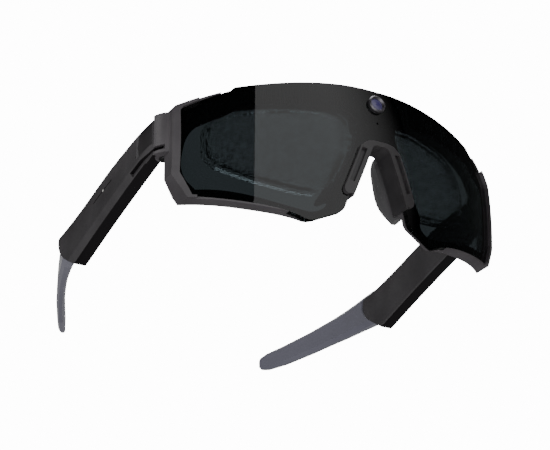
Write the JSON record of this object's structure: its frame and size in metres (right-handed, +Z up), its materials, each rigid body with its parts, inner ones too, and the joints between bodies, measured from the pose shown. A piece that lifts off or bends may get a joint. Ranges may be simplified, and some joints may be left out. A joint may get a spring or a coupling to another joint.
{
  "type": "smart glasses",
  "caption": "Wraparound shield glasses with a camera over the nose, folding temples that hold speakers and batteries, and soft curved tips.",
  "frame": {"origin": "middle of the footprint, on the table that the glasses stand on", "axes": "+X to the wearer's left, +Y to the rear of the temples, +Z up"},
  "size_m": [0.1424, 0.1668, 0.0547],
  "materials": {
    "frame_plastic": "fine matte texture",
    "shell_plastic": "fine matte texture",
    "lens_tint": "polished, smoke tint",
    "lens_print": "printed black film",
    "trim_plastic": "satin black",
    "facet_plastic": "smooth satin black",
    "pad_rubber": "soft matte",
    "tip_rubber": "soft matte grey",
    "bezel_metal": "black anodised",
    "optic_glass": "coated, violet sheen",
    "barrel_plastic": "flat black",
    "board_green": "solder mask",
    "sensor_chip": "polished silicon",
    "can_metal": "plated",
    "flex_film": "amber film",
    "insert_plastic": "satin",
    "insert_glass": "polished clear",
    "hinge_steel": "machined",
    "core_steel": "drawn wire",
    "battery_foil": "foil pouch",
    "speaker_plastic": "moulded",
    "button_plastic": "satin black",
    "light_plastic": "clear diffuser"
  },
  "bodies": {
    "front": {"main_frame": "frame_plastic", "shield_lens": "lens_tint", "lens_border": "lens_print", "nose_trim": "trim_plastic", "nose_pad_left": "pad_rubber", "nose_pad_right": "pad_rubber", "pad_carrier_left": "frame_plastic", "pad_carrier_right": "frame_plastic", "camera_bezel": "bezel_metal", "camera_window": "optic_glass", "camera_barrel": "barrel_plastic", "camera_lens": "optic_glass", "image_sensor": "sensor_chip", "camera_board": "board_green", "front_microphone": "can_metal", "camera_cover": "frame_plastic", "front_flex": "flex_film", "brow_cover_left": "frame_plastic", "brow_cover_right": "frame_plastic", "insert_frame": "insert_plastic", "insert_lens_left": "insert_glass", "insert_lens_right": "insert_glass", "hinge_screw_left": "hinge_steel", "hinge_screw_right": "hinge_steel", "hinge_cap_left": "barrel_plastic", "hinge_cap_right": "barrel_plastic"},
    "temple_left": {"temple_shell_left": "shell_plastic", "temple_cover_left": "shell_plastic", "temple_tip_left": "tip_rubber", "tip_core_left": "core_steel", "hinge_leaf_left": "hinge_steel", "hinge_facet_left": "facet_plastic", "leaf_screws_left": "hinge_steel", "battery_left": "battery_foil", "speaker_left": "speaker_plastic", "circuit_board_left": "board_green"},
    "temple_right": {"temple_shell_right": "shell_plastic", "temple_cover_right": "shell_plastic", "temple_tip_right": "tip_rubber", "tip_core_right": "core_steel", "hinge_leaf_right": "hinge_steel", "hinge_facet_right": "facet_plastic", "leaf_screws_right": "hinge_steel", "battery_right": "battery_foil", "speaker_right": "speaker_plastic", "circuit_board_right": "board_green", "button_switch": "can_metal", "status_light": "light_plastic"},
    "capture_button": {"capture_button": "button_plastic"}
  },
  "joints": [
    {"name": "fold_left", "type": "hinge", "parent": "front", "child": "temple_left", "pos_m": [0.0662, -0.04706, 0.03223], "axis": [0, 0.0637, 0.998], "range_deg": [0, 80]},
    {"name": "fold_right", "type": "hinge", "parent": "front", "child": "temple_right", "pos_m": [-0.0662, -0.04706, 0.03223], "axis": [0, -0.0637, -0.998], "range_deg": [0, 60]},
    {"name": "press_capture", "type": "slide", "parent": "temple_right", "child": "capture_button", "axis": [0, -0.0637, -0.998], "range_m": [0, 0.0005], "stiffness_N_per_m": 1500}
  ]
}
